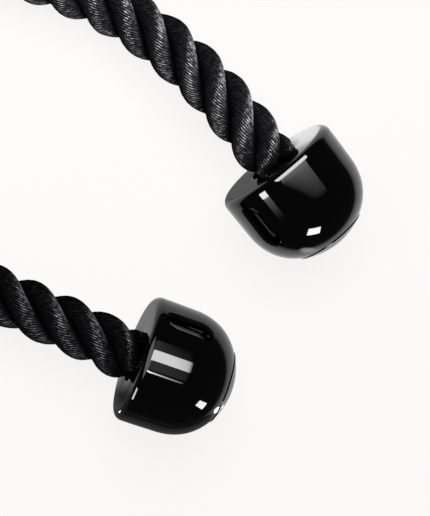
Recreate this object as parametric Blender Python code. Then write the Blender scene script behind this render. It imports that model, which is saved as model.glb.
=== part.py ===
"""Triceps rope attachment: a laid rope folded through an oval link ring, held by a crimped
steel collar, with a moulded ball cap on each end. Metres, +Z up. It lies on the plane z = 0
with the ring towards +Y and the two ends towards -Y; the origin is the middle of the
collar's underside."""

import math

import bmesh
import bpy
import numpy as np
from mathutils import Vector

# Rope: its mean diameter, and how far its lay's crowns stand above that
ROPE_DIAMETER = 0.0254
STRAND_CROWN = 0.0014
FIT_GAP = 0.0003
MERGE = 0.000001

# Crimped collar round both legs
COLLAR_LENGTH = 0.030
COLLAR_WALL = 0.0025
COLLAR_ROPE_GAP = 0.0006
COLLAR_EDGE_ROUND = 0.0008
COLLAR_DENT_DEPTH = 0.0048
COLLAR_DENT_HALF_WIDTH = 0.0075
COLLAR_DENT_HALF_LENGTH = 0.0095
COLLAR_DENT_SHARES = (-1, -0.75, -0.5, -0.25, 0, 0.25, 0.5, 0.75, 1)
COLLAR_RIM_SHARES = (1, 0.3, 0)

# Oval link ring
RING_WIRE = 0.009
RING_INNER_WIDTH = 0.029
RING_STRAIGHT = 0.027
RING_WELD_SHARES = (0.56, 0.5, 0.44)
RING_WELD_SWELL_SHARE = 1.05

# Eye of the rope round the ring
BIGHT_RADIUS = 0.022
BIGHT_NECK = 0.030

# Stretch of each leg that bends when the leg swings
BEND_LENGTH = 0.060

# Ball caps
CAP_RADIUS = 0.0324
CAP_DRAFT = 0.0004
CAP_BARREL = 0.0222
CAP_DOME = 0.0293
CAP_DOME_FULLNESS = 2.15
CAP_BACK_ROUND = 0.0042
CAP_THROAT = 0.012
CAP_SHOULDER = 0.0056
CAP_MOUTH_ROUND = 0.0012
CAP_FLANGE = 0.0035

# Round plug that closes the dome
PLUG_RADIUS = 0.019
PLUG_SEAT_DEPTH = 0.0032
PLUG_PROUD = 0.0010
PLUG_RIM_ROUND = 0.0010
PLUG_SKIRT_RADIUS = 0.0167
PLUG_SKIRT_WALL = 0.0024
PLUG_SKIRT_LENGTH = 0.0070
PLUG_BARB = 0.0008

# Steel parts that hold the rope's end inside the cap
WASHER_WIDTH = 0.0034
WASHER_THICKNESS = 0.002
FERRULE_WALL = 0.0026
FERRULE_LENGTH = 0.016
FERRULE_EDGE = 0.0006
FERRULE_GROOVE = 0.0008
FERRULE_GROOVE_SHARES = (0.3, 0.7)
ROPE_TAIL = 0.0025
ROPE_TAIL_ROUND = 0.003

# Which side of the collar each leg leaves on
SIDES = {"left": -1, "right": 1}

# Where each cap's back face stands, and how far its axis turns from -Y (degrees)
CAP_PLACES = {
    "left": ((-0.0758, -0.3439), 9.3),
    "right": ((0.0429, -0.3563), -22.0),
}

# Points that the rope's free legs pass between the collar's mouth and the cap's: x and y
LEG_ROUTES = {
    "left": (
        (-0.0146, -0.0380),
        (-0.0190, -0.0605),
        (-0.0262, -0.0825),
        (-0.0350, -0.1035),
        (-0.0448, -0.1240),
        (-0.0548, -0.1445),
        (-0.0642, -0.1655),
        (-0.0722, -0.1865),
        (-0.0783, -0.2085),
        (-0.0821, -0.2310),
        (-0.0836, -0.2540),
        (-0.0819, -0.2765),
        (-0.0794, -0.2990),
        (-0.0768, -0.3220),
    ),
    "right": (
        (0.0143, -0.0385),
        (0.0182, -0.0620),
        (0.0242, -0.0850),
        (0.0316, -0.1075),
        (0.0399, -0.1300),
        (0.0482, -0.1525),
        (0.0560, -0.1745),
        (0.0623, -0.1970),
        (0.0668, -0.2205),
        (0.0697, -0.2440),
        (0.0692, -0.2675),
        (0.0656, -0.2910),
        (0.0594, -0.3140),
        (0.0515, -0.3360),
    ),
}
SETTLE_LENGTH = 0.070
RISE_LENGTH = 0.115

# Facets
CAP_TURN_STEPS = 40
INNER_TURN_STEPS = 28
ROPE_BEVEL_STEPS = 4
RING_BEVEL_STEPS = 6
ARC_STEPS = 10
DENT_STEPS = 12
DOME_STEPS = 8
EDGE_STEPS = 4
LIP_STEPS = 2
BIGHT_STEPS = 24
SMOOTH_ANGLE = 35
LEG_POINT_SPACING = 0.018
BIGHT_POINT_SPACING = 0.007
ROUTE_SAMPLES_PER_STRETCH = 16
SQUARE_END = 0.001

# Derived sizes
ROPE_RADIUS = ROPE_DIAMETER / 2
ROPE_REST_HEIGHT = ROPE_RADIUS + STRAND_CROWN
BORE_RADIUS = ROPE_RADIUS + FIT_GAP
COLLAR_OUTER_RADIUS = BORE_RADIUS + COLLAR_WALL
COLLAR_ROPE_HEIGHT = COLLAR_OUTER_RADIUS
COLLAR_ROPE_SPACING = ROPE_DIAMETER + COLLAR_ROPE_GAP
LEG_X = COLLAR_ROPE_SPACING / 2
RING_BEND_RADIUS = (RING_INNER_WIDTH + RING_WIRE) / 2
RING_HEIGHT = RING_BEND_RADIUS + RING_WIRE / 2
BIGHT_CENTRE_Y = COLLAR_LENGTH / 2 + BIGHT_NECK
APEX_Y = BIGHT_CENTRE_Y + BIGHT_RADIUS
APEX_ROPE_HEIGHT = RING_WIRE + FIT_GAP + ROPE_RADIUS
CAP_COUNTERBORE_RADIUS = BORE_RADIUS + CAP_SHOULDER
WASHER_RADIUS = BORE_RADIUS + WASHER_WIDTH
WASHER_START = CAP_THROAT + FIT_GAP
FERRULE_START = WASHER_START + WASHER_THICKNESS + FIT_GAP
FERRULE_END = FERRULE_START + FERRULE_LENGTH
ROPE_END = FERRULE_END + ROPE_TAIL

COLOURS = {
    "black_rope": ((0.012, 0.012, 0.013, 1), 0.6, 0),
    "black_cap": ((0.006, 0.006, 0.007, 1), 0.12, 0),
    "chrome": ((0.62, 0.63, 0.64, 1), 0.12, 1),
    "zinc": ((0.50, 0.51, 0.52, 1), 0.35, 1),
}


def material(name, finish):
    """A Principled material of its own for one piece."""
    colour, roughness, metallic = COLOURS[finish]
    made = bpy.data.materials.new(name)
    made.use_nodes = True
    shader = made.node_tree.nodes["Principled BSDF"]
    shader.inputs["Base Color"].default_value = colour
    shader.inputs["Roughness"].default_value = roughness
    shader.inputs["Metallic"].default_value = metallic
    return made


def add(name, data, finish, parent=None):
    """An object of this data in the scene, with its material and parent."""
    made = bpy.data.objects.new(name, data)
    data.materials.append(material(name, finish))
    bpy.context.collection.objects.link(made)
    made.parent = parent
    return made


def empty(name, location, parent=None):
    """A joint's or a cap's frame."""
    made = bpy.data.objects.new(name, None)
    made.location = location
    bpy.context.collection.objects.link(made)
    made.parent = parent
    return made


def arc(centre, radii, start_deg, end_deg, steps):
    """Points of an arc or a quarter of an ellipse, as (across, along) pairs."""
    points = []
    for step in range(steps + 1):
        angle = math.radians(start_deg + (end_deg - start_deg) * step / steps)
        across, along = radii[0] * math.cos(angle), radii[1] * math.sin(angle)
        points.append((centre[0] + across, centre[1] + along))
    return points


def soften(mesh):
    """Smooth shading, with the sharper edges kept sharp."""
    mesh.shade_smooth()
    mesh.set_sharp_from_angle(angle=math.radians(SMOOTH_ANGLE))


def turned(name, outline, finish, parent, steps, closed=True):
    """An outline of (radius, height) pairs turned round +Z. An open one starts and ends on the axis."""
    mesh = bpy.data.meshes.new(name)
    shape = bmesh.new()
    corners = [shape.verts.new((radius, 0, height)) for radius, height in outline]
    following = corners[1:] + corners[:1] if closed else corners[1:]
    edges = [shape.edges.new(pair) for pair in zip(corners, following)]
    turn = {"axis": (0, 0, 1), "cent": (0, 0, 0), "angle": math.tau, "steps": steps}
    bmesh.ops.spin(shape, geom=corners + edges, **turn)
    bmesh.ops.remove_doubles(shape, verts=shape.verts, dist=MERGE)
    bmesh.ops.recalc_face_normals(shape, faces=shape.faces)
    shape.to_mesh(mesh)
    shape.free()
    soften(mesh)
    return add(name, mesh, finish, parent)


def tube(name, points, radius, steps, finish, parent=None, origin=(0, 0, 0), swells=None):
    """A round bar along these points, with filled ends or, if its swells are given, a closed loop."""
    curve = bpy.data.curves.new(name, "CURVE")
    curve.dimensions = "3D"
    curve.bevel_depth = radius
    curve.bevel_resolution = steps
    curve.use_fill_caps = not swells
    curve.twist_mode = "MINIMUM" if swells else "Z_UP"
    spline = curve.splines.new("POLY")
    spline.points.add(len(points) - 1)
    for number, (slot, point) in enumerate(zip(spline.points, points)):
        slot.co = (*(Vector(point) - Vector(origin)), 1)
        slot.radius = swells[number] if swells else 1
    spline.use_cyclic_u = bool(swells)
    spline.use_smooth = True
    return add(name, curve, finish, parent)


def smoothstep(share):
    share = min(max(share, 0), 1)
    return share * share * (3 - 2 * share)


def mirrored(point, at, axis):
    """The point on the other side of the plane through at that is square to the axis."""
    return point + 2 * np.dot(at - point, axis) * axis


def smooth_line(route, start_axis, end_axis):
    """Closely spaced points of a Catmull-Rom curve through a route, square to both its ends."""
    points = [np.array(point, float) for point in route]
    before = mirrored(points[1], points[0], np.array(start_axis, float))
    after = mirrored(points[-2], points[-1], np.array(end_axis, float))
    points = [before, *points, after]
    line = []
    for p0, p1, p2, p3 in zip(points, points[1:], points[2:], points[3:]):
        for step in range(ROUTE_SAMPLES_PER_STRETCH):
            t = step / ROUTE_SAMPLES_PER_STRETCH
            squared = (2 * p0 - 5 * p1 + 4 * p2 - p3) * t**2
            cubed = (3 * p1 - p0 - 3 * p2 + p3) * t**3
            line.append(p1 + ((p2 - p0) * t + squared + cubed) / 2)
    line.append(points[-2])
    return np.array(line)


def distances(line):
    """How far along the line each of its points is."""
    return np.concatenate([[0], np.cumsum(np.linalg.norm(np.diff(line, axis=0), axis=1))])


def stretch(line, start, end, spacing):
    """Evenly spaced points of the line between two distances, with a short square run at each end."""
    along = distances(line)
    count = max(3, round((end - start) / spacing) + 1)
    between = np.linspace(start, end, count)[1:-1]
    wanted = [start, start + SQUARE_END, *between, end - SQUARE_END, end]
    return np.stack([np.interp(wanted, along, column) for column in line.T], axis=1)


def cap_axis(side):
    """The way from a cap's back face to its dome."""
    turn = math.radians(CAP_PLACES[side][1])
    return Vector((math.sin(turn), -math.cos(turn), 0))


def leg_line(side):
    """A free leg's centreline: out of the collar, down onto the floor, and up to the cap's middle."""
    start = (SIDES[side] * LEG_X, -COLLAR_LENGTH / 2)
    route = [start, *LEG_ROUTES[side], CAP_PLACES[side][0]]
    flat = smooth_line(route, (0, 1), cap_axis(side)[:2])
    along = distances(flat)
    heights = []
    for distance in along:
        settled = 1 - smoothstep(distance / SETTLE_LENGTH)
        risen = smoothstep(1 - (along[-1] - distance) / RISE_LENGTH)
        height = ROPE_REST_HEIGHT + (COLLAR_ROPE_HEIGHT - ROPE_REST_HEIGHT) * settled
        heights.append(height + (CAP_RADIUS - ROPE_REST_HEIGHT) * risen)
    return np.column_stack([flat, heights])


def bight_line():
    """The held stretch: through the collar, round the ring and back through the collar."""
    half = []
    start_y = -COLLAR_LENGTH / 2 + FIT_GAP
    for step in range(BIGHT_STEPS + 1):
        y = start_y + (BIGHT_CENTRE_Y - start_y) * step / BIGHT_STEPS
        share = (y - COLLAR_LENGTH / 2) / BIGHT_NECK
        half.append((LEG_X + (BIGHT_RADIUS - LEG_X) * smoothstep(share), y))
    half += arc((0, BIGHT_CENTRE_Y), (BIGHT_RADIUS, BIGHT_RADIUS), 0, 90, BIGHT_STEPS)[1:]
    line = []
    for x, y in half:
        risen = smoothstep((y - COLLAR_LENGTH / 2) / (APEX_Y - COLLAR_LENGTH / 2))
        line.append((x, y, COLLAR_ROPE_HEIGHT + (APEX_ROPE_HEIGHT - COLLAR_ROPE_HEIGHT) * risen))
    line += [(-x, y, z) for x, y, z in reversed(line[:-1])]
    return np.array(line)


def ring_line():
    """The ring's centreline in the plane x = 0: two straight bars and two half circles."""
    bend = (RING_BEND_RADIUS, RING_BEND_RADIUS)
    near = arc((APEX_Y, RING_HEIGHT), bend, 90, 270, ARC_STEPS)
    far = arc((APEX_Y + RING_STRAIGHT, RING_HEIGHT), bend, -90, 90, ARC_STEPS)
    top = RING_HEIGHT + RING_BEND_RADIUS
    weld = [(APEX_Y + RING_STRAIGHT * share, top) for share in RING_WELD_SHARES]
    points = [(0, y, z) for y, z in near + far + weld]
    swells = [1] * len(near + far) + [1, RING_WELD_SWELL_SHARE, 1]
    return points, swells


def collar_outline(radius, dent):
    """The collar's section in x and z: a flat underside, two round sides and a dented top."""
    middle = COLLAR_ROPE_HEIGHT
    right = [(LEG_X + x, z) for x, z in arc((0, middle), (radius, radius), -90, 90, ARC_STEPS)]
    left = [(x - LEG_X, z) for x, z in arc((0, middle), (radius, radius), 90, 270, ARC_STEPS)]
    top = []
    for step in range(1, DENT_STEPS):
        x = LEG_X - COLLAR_ROPE_SPACING * step / DENT_STEPS
        reach = min(abs(x) / COLLAR_DENT_HALF_WIDTH, 1)
        top.append((x, middle + radius - dent * math.cos(reach * math.pi / 2) ** 2))
    return right + top + left


def collar():
    """The crimped band, skinned over sections along Y, with rounded rims and an oval punch mark."""
    half = COLLAR_LENGTH / 2
    rim = []
    for share in COLLAR_RIM_SHARES:
        rim.append((-half + COLLAR_EDGE_ROUND * (1 - share), COLLAR_EDGE_ROUND * share))
    dented = [(COLLAR_DENT_HALF_LENGTH * share, 0) for share in COLLAR_DENT_SHARES]
    stations = rim + dented + [(-y, cut) for y, cut in reversed(rim)]
    mesh = bpy.data.meshes.new("collar")
    shape = bmesh.new()
    skins = {"outer": [], "inner": []}
    for y, cut in stations:
        reach = min(abs(y) / COLLAR_DENT_HALF_LENGTH, 1)
        dent = COLLAR_DENT_DEPTH * math.cos(reach * math.pi / 2) ** 2
        for skin, radius in (("outer", COLLAR_OUTER_RADIUS - cut), ("inner", BORE_RADIUS + cut)):
            row = [shape.verts.new((x, y, z)) for x, z in collar_outline(radius, dent)]
            skins[skin].append(row)
    for rows in skins.values():
        for row, following in zip(rows, rows[1:]):
            join(shape, row, following)
    join(shape, skins["outer"][0], skins["inner"][0])
    join(shape, skins["outer"][-1], skins["inner"][-1])
    bmesh.ops.recalc_face_normals(shape, faces=shape.faces)
    shape.to_mesh(mesh)
    shape.free()
    soften(mesh)
    return add("collar", mesh, "chrome")


def join(shape, row, following):
    """A band of faces between two closed rows of corners."""
    for corner in range(len(row)):
        after = (corner + 1) % len(row)
        shape.faces.new((row[corner], row[after], following[after], following[corner]))


def dome_height(radius):
    """Height of the dome's surface at this radius, on a curve a little fuller than an ellipse."""
    share = radius / (CAP_RADIUS - CAP_DRAFT)
    return CAP_BARREL + CAP_DOME * (1 - share**CAP_DOME_FULLNESS) ** (1 / CAP_DOME_FULLNESS)


def dome_outline(end_radius):
    """Points of the dome's outline, from the barrel in to this radius."""
    dome_radius = CAP_RADIUS - CAP_DRAFT
    points = []
    for step in range(DOME_STEPS + 1):
        turn = math.acos(end_radius / dome_radius) * step / DOME_STEPS
        radius = dome_radius * math.cos(turn)
        points.append((radius, dome_height(radius)))
    return points


def cap_body(side, frame):
    """The moulded cap: a round-backed barrel and dome, with a throat for the rope, a counterbore
    for what holds the rope's end, and a flange that the plug snaps behind."""
    seat_radius = PLUG_RADIUS + FIT_GAP
    seat = dome_height(seat_radius) - PLUG_SEAT_DEPTH
    front_bore = PLUG_SKIRT_RADIUS + FIT_GAP
    mouth = (BORE_RADIUS + CAP_MOUTH_ROUND, CAP_MOUTH_ROUND)
    back = (CAP_RADIUS - CAP_BACK_ROUND, CAP_BACK_ROUND)
    outline = arc(mouth, (CAP_MOUTH_ROUND, CAP_MOUTH_ROUND), 180, 270, LIP_STEPS)
    outline += arc(back, (CAP_BACK_ROUND, CAP_BACK_ROUND), -90, 0, EDGE_STEPS)
    outline += dome_outline(seat_radius)
    outline += [(seat_radius, seat), (front_bore, seat), (front_bore, seat - CAP_FLANGE)]
    outline += [(CAP_COUNTERBORE_RADIUS, seat - CAP_FLANGE), (CAP_COUNTERBORE_RADIUS, CAP_THROAT)]
    outline += [(BORE_RADIUS, CAP_THROAT)]
    return turned(f"cap_body_{side}", outline, "black_cap", frame, CAP_TURN_STEPS)


def end_plug(side, frame):
    """The snap-in plug: a crowned head a little proud of the dome, and a barbed skirt."""
    rim_top = dome_height(PLUG_RADIUS) + PLUG_PROUD
    seat = dome_height(PLUG_RADIUS + FIT_GAP) - PLUG_SEAT_DEPTH
    underside = seat + FIT_GAP
    crown = CAP_BARREL + CAP_DOME + PLUG_PROUD
    skirt_inner = PLUG_SKIRT_RADIUS - PLUG_SKIRT_WALL
    skirt_end = underside - PLUG_SKIRT_LENGTH
    barb_top = seat - CAP_FLANGE - FIT_GAP
    crown_radius = PLUG_RADIUS - PLUG_RIM_ROUND
    head = []
    for step in range(EDGE_STEPS + 1):
        share = step / EDGE_STEPS
        head.append((crown_radius * share, crown - (crown - rim_top) * share**2))
    rim_centre = (crown_radius, rim_top - PLUG_RIM_ROUND)
    head += arc(rim_centre, (PLUG_RIM_ROUND, PLUG_RIM_ROUND), 60, 0, LIP_STEPS)
    skirt = [
        (PLUG_RADIUS, underside),
        (PLUG_SKIRT_RADIUS, underside),
        (PLUG_SKIRT_RADIUS, barb_top),
        (PLUG_SKIRT_RADIUS + PLUG_BARB, barb_top),
        (PLUG_SKIRT_RADIUS, skirt_end),
        (skirt_inner, skirt_end),
        (skirt_inner, underside),
        (0, underside),
    ]
    return turned(f"end_plug_{side}", head + skirt, "black_cap", frame, CAP_TURN_STEPS, closed=False)


def washer(side, frame):
    """The flat steel ring that bears on the throat's shoulder and stops the ferrule."""
    low, high = WASHER_START, WASHER_START + WASHER_THICKNESS
    outline = [(BORE_RADIUS, low), (WASHER_RADIUS, low), (WASHER_RADIUS, high), (BORE_RADIUS, high)]
    return turned(f"washer_{side}", outline, "zinc", frame, INNER_TURN_STEPS)


def ferrule(side, frame):
    """The sleeve crimped on the rope's end, with chamfered rims and two pressed grooves."""
    outer = BORE_RADIUS + FERRULE_WALL
    outline = [(BORE_RADIUS, FERRULE_START), (outer - FERRULE_EDGE, FERRULE_START)]
    outline += [(outer, FERRULE_START + FERRULE_EDGE)]
    for share in FERRULE_GROOVE_SHARES:
        middle = FERRULE_START + FERRULE_LENGTH * share
        outline += [(outer, middle - 2 * FERRULE_GROOVE)]
        outline += [(outer - FERRULE_GROOVE, middle - FERRULE_GROOVE)]
        outline += [(outer - FERRULE_GROOVE, middle + FERRULE_GROOVE)]
        outline += [(outer, middle + 2 * FERRULE_GROOVE)]
    outline += [(outer, FERRULE_END - FERRULE_EDGE), (outer - FERRULE_EDGE, FERRULE_END)]
    outline += [(BORE_RADIUS, FERRULE_END)]
    return turned(f"ferrule_{side}", outline, "zinc", frame, INNER_TURN_STEPS)


def rope_end(side, frame):
    """The rope inside the cap, from its mouth to the melted and rounded tip."""
    outline = [(0, 0), (ROPE_RADIUS, 0)]
    tip = (ROPE_RADIUS - ROPE_TAIL_ROUND, ROPE_END - ROPE_TAIL_ROUND)
    outline += arc(tip, (ROPE_TAIL_ROUND, ROPE_TAIL_ROUND), 0, 90, EDGE_STEPS)
    outline += [(0, ROPE_END)]
    return turned(f"rope_end_{side}", outline, "black_rope", frame, INNER_TURN_STEPS, closed=False)


def leg(side):
    """One leg: the bending stretch at the collar, the free stretch, and the cap with what it holds."""
    line = leg_line(side)
    whole = distances(line)[-1]
    pivot = stretch(line, 0, BEND_LENGTH, BEND_LENGTH / 2)[2]
    swing = empty(f"{side}_leg_swing", pivot)
    bend = stretch(line, 0, BEND_LENGTH - FIT_GAP, LEG_POINT_SPACING)
    tube(f"rope_bend_{side}", bend, ROPE_RADIUS, ROPE_BEVEL_STEPS, "black_rope")
    free = stretch(line, BEND_LENGTH, whole - FIT_GAP, LEG_POINT_SPACING)
    tube(f"rope_leg_{side}", free, ROPE_RADIUS, ROPE_BEVEL_STEPS, "black_rope", swing, pivot)
    x, y = CAP_PLACES[side][0]
    frame = empty(f"{side}_cap_frame", Vector((x, y, CAP_RADIUS)) - Vector(pivot), swing)
    frame.rotation_euler = cap_axis(side).to_track_quat("Z", "X").to_euler()
    for piece in (cap_body, end_plug, washer, ferrule, rope_end):
        piece(side, frame)


def build():
    for made in list(bpy.data.objects):
        bpy.data.objects.remove(made)
    collar()
    bight = bight_line()
    points = stretch(bight, 0, distances(bight)[-1], BIGHT_POINT_SPACING)
    tube("rope_bight", points, ROPE_RADIUS, ROPE_BEVEL_STEPS, "black_rope")
    hinge = (0, APEX_Y, RING_HEIGHT)
    points, swells = ring_line()
    swing = empty("ring_swing", hinge)
    tube("link_ring", points, RING_WIRE / 2, RING_BEVEL_STEPS, "chrome", swing, hinge, swells)
    for side in LEG_ROUTES:
        leg(side)
        print(f"{side} leg: {distances(leg_line(side))[-1]:.4f} m of free rope")


build()
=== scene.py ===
import math

import bpy
import numpy as np
from mathutils import Matrix, Vector, noise


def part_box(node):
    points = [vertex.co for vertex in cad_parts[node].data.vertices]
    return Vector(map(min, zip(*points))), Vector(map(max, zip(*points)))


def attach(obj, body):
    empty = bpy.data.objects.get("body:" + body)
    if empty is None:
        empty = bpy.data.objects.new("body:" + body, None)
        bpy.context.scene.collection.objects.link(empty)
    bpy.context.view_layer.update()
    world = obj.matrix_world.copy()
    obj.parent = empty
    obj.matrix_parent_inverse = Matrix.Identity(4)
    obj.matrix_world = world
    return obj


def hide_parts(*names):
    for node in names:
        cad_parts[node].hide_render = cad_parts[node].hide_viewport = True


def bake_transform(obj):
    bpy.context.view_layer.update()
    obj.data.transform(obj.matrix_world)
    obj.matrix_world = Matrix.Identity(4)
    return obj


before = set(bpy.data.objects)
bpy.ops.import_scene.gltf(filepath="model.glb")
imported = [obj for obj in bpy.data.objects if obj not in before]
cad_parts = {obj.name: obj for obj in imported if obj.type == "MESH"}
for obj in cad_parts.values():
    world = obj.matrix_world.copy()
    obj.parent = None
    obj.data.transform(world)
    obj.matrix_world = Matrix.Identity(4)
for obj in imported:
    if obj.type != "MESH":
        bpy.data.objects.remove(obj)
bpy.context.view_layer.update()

MM = 0.001

# The photograph's view: from almost straight above, the pull axis running down to the right. VIEW_HEIGHT
# is what the picture's height takes in at the target, and VIEW_TILT how far the camera stands off to the
# picture's right and top, for each metre that it stands above.
VIEW_TURN = 30
VIEW_TARGET = Vector((-0.013, -0.355, 0.032))
VIEW_DISTANCE = 1.2
VIEW_HEIGHT = 0.258
VIEW_TILT = (-0.14, 0.145)
SENSOR_HEIGHT = 24

# Rope: three strands laid to the right. Their crowns stand out past its nominal diameter, and a strand
# touches its neighbours as far out from the rope's middle as STRAND_FLANK.
ROPE_DIAMETER = 25.4 * MM
REST_LIFT = 1.4 * MM
REST_HEIGHT = ROPE_DIAMETER / 2 + REST_LIFT
STRANDS = 3
LAY_LENGTH = 60.0 * MM
STRAND_CROWN = 13.9 * MM
STRAND_DEPTH = 6.2 * MM
STRAND_WIDTH = 7.1 * MM
STRAND_FLANK = 7.4 * MM
STRAND_GAP = 0.05 * MM
STRAND_CORNER = 1.3 * MM
CROWN_REACH = math.pi * 0.62
CROWN_STEPS = 60
OUTLINE_STEPS = 720
NORMAL_REACH = 0.2 * MM
RING_SPACING = 1.6 * MM
FIT_RADIUS = 12.75 * MM
FIT_EASE = 4 * MM

# Yarns in a strand: their number, the heights of the three columns that each one takes as shares of its
# ridge, how often and how much the ridge swells, and their turn in each leg as a share of the lay's
YARNS = 34
YARN_RIDGE = 0.30 * MM
YARN_COLUMN_SHARES = (0.6, 0.6, -1.0)
YARN_SWELL = 9 * MM
YARN_SWELL_SHARES = (0.5, 1.5)
YARN_TURN_SHARES = {"left": 0.97, "right": 1.02}

# Each strand is slightly uneven in size along the rope, by chance, and each rope has its own seed
UNEVEN_KNOTS = 40
UNEVEN_SHARE = 0.012
LEG_SEED = 11
TAIL_SEED = 21
EYE_SEED = 31

# Routes of the free legs, from the collar's mouth to the cap's mouth: x and y in metres
LEG_ROUTES = {
    "left": (
        (-0.0130, -0.0150), (-0.0146, -0.0380), (-0.0190, -0.0605), (-0.0262, -0.0825),
        (-0.0350, -0.1035), (-0.0448, -0.1240), (-0.0548, -0.1445), (-0.0642, -0.1655),
        (-0.0722, -0.1865), (-0.0783, -0.2085), (-0.0821, -0.2310), (-0.0836, -0.2540),
        (-0.0819, -0.2765), (-0.0794, -0.2990), (-0.0768, -0.3220), (-0.0758, -0.3439),
    ),
    "right": (
        (0.0130, -0.0150), (0.0143, -0.0385), (0.0182, -0.0620), (0.0242, -0.0850),
        (0.0316, -0.1075), (0.0399, -0.1300), (0.0482, -0.1525), (0.0560, -0.1745),
        (0.0623, -0.1970), (0.0668, -0.2205), (0.0697, -0.2440), (0.0692, -0.2675),
        (0.0656, -0.2910), (0.0594, -0.3140), (0.0515, -0.3360), (0.0429, -0.3563),
    ),
}

# The caps' turns and the lay's phases in degrees, and the lengths over which a leg settles on the floor
# and rises to its cap
CAP_TURNS = {"left": 9.3, "right": -22.0}
LAY_PHASES = {"left": 33, "right": -15}
SETTLE_LENGTH = 70 * MM
RISE_LENGTH = 115 * MM
ROUTE_SAMPLES = 16
COLLAR_OVERLAP = 8 * MM
THROAT_OVERLAP = 10 * MM

# Ball caps and their plugs
CAP_DRAFT = 0.4 * MM
CAP_TAPER = 30 * MM
CAP_BARREL = 22.2 * MM
CAP_DOME = 29.3 * MM
CAP_DOME_FULLNESS = 2.15
CAP_BACK_ROUND = 4.2 * MM
CAP_THROAT = 12 * MM
CAP_COUNTERBORE = 18.6 * MM
CAP_MOUTH_ROUND = 1.2 * MM
CAP_FLANGE = 3.5 * MM
BORE_RADIUS = 13.0 * MM
FIT_GAP = 0.3 * MM
PLUG_RADIUS = 19 * MM
PLUG_SEAT_DEPTH = 3.2 * MM
PLUG_PROUD = 1.0 * MM
PLUG_RIM_ROUND = 1.0 * MM
PLUG_SKIRT_RADIUS = 16.7 * MM
PLUG_SKIRT_WALL = 2.4 * MM
PLUG_SKIRT_LENGTH = 7.0 * MM
PLUG_SEAM = 0.03 * MM
SEAT_EDGE = 0.08 * MM
CAP_SIDES = 192
BARREL_STEPS = 8
SHELL_STEPS = 36
PLUG_CROWN_STEPS = 12
PLUG_RIM_START = 62
SMOOTH_ANGLE = 40
MERGE_DISTANCE = 0.01 * MM

# What holds the rope inside a cap, from its back face
WASHER_START = 12.3 * MM
WASHER_THICKNESS = 2 * MM
WASHER_RADIUS = 16.4 * MM
WASHER_EDGE = 0.25 * MM
FERRULE_START = 14.6 * MM
FERRULE_END = 30.6 * MM
FERRULE_WALL = 2.6 * MM
FERRULE_EDGE = 0.6 * MM
FERRULE_GROOVE = 0.8 * MM
FERRULE_GROOVE_SHARES = (0.3, 0.7)
FERRULE_GROOVE_STEPS = 8
TAIL_RADIUS = 12.7 * MM
TAIL_END = 33.1 * MM
TAIL_POINTS = 20
TIP_LENGTH = 3 * MM
TIP_INSET = 0.1 * MM
TIP_LUMPY_SHARE = 0.9
TIP_LUMP_WIDTH = 3.5 * MM
TIP_LUMP_DEPTH = 0.8 * MM
TIP_SIDES = 64
TIP_BASE_RINGS = 4
TIP_FACE_RINGS = 6

# Collar, with the number of its sides, of cuts across its top and of stations along it
LEG_X = 13 * MM
COLLAR_LENGTH = 30 * MM
COLLAR_WALL = 2.5 * MM
COLLAR_RIM_ROUND = 0.8 * MM
COLLAR_SIDES = 96
COLLAR_TOP_CUTS = 41
COLLAR_STATIONS = 30
COLLAR_RIM_SEGMENTS = 4
COLLAR_RIM_ANGLE = 60
COLLAR_SMOOTH_ANGLE = 50
DENT_DEPTH = 4.8 * MM
DENT_HALF_WIDTH = 7.5 * MM
DENT_HALF_LENGTH = 9.5 * MM

# Link ring: its bar, its bends and straights, the middle of its near bend, and its weld's bead as
# distances from the weld's middle in millimetres and shares of the bar's radius
RING_WIRE = 9 * MM
RING_SIDES = 40
RING_BEND = 19 * MM
RING_BEND_STEPS = 40
RING_STRAIGHT = 27 * MM
RING_NEAR = (67 * MM, 23.5 * MM)
WELD_BEAD = (
    (-1.62, 1.0), (-1.25, 1.03), (-0.75, 1.048), (-0.25, 1.038),
    (0.25, 1.05), (0.8, 1.044), (1.3, 1.026), (1.62, 1.0),
)

# The rope's eye, from inside the collar round through the link ring: where its two sides part and stop
# parting, where it starts to rise, over what length and how far, and its crown's radius at places
# along y, in millimetres
EYE_START = -6 * MM
EYE_NECK = (15 * MM, 45 * MM)
EYE_BEND = 22 * MM
EYE_RISE = (15 * MM, 52 * MM, 6.5 * MM)
EYE_CROWNS = ((-6, 12.75), (13, 12.75), (24, 13.4), (50, 13.2), (60, 12.6), (70, 12.6))
EYE_NECK_POINTS = 36
EYE_BEND_STEPS = 24
EYE_PHASE = 0.4

# Finishes: how wide each pattern's features are, how long where they run one way, and how deep in
# relief. Across the rope they count yarns, and along it millimetres, as its UV map does. The real lines
# of polishing are too fine to show, and these are drawn coarser.
YARN_SWAY = (2.222, 4.167)
YARN_WISP = (0.9091, 2.778)
GLINT_DEPTH = 0.12 * MM
MOULD_SWELL = (16.7 * MM, 0.4 * MM)
MELTED_LUMP = (2.38 * MM, 0.25 * MM)
WORN_PATCH = 11.1 * MM
POLISHING_LINE = (0.192 * MM, 6.25 * MM, 0.01 * MM)
PLATE_WAVE = (7.14 * MM, 0.3 * MM)
PASSIVATED_CAST = 7.69 * MM
ZINC_SPANGLE = (1.11 * MM, 0.03 * MM)

# Studio: a lamp's watts for a radiance of 1 on a square metre, and the brightness of the floor to the
# camera and of the room to plain surfaces and to gloss
AREA_LAMP_WATTS = math.pi
FLOOR_SIZE = 8
FLOOR_GLOW = 0.88
ROOM_LIGHT = 0.12
ROOM_GLOSS = 0.045

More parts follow.
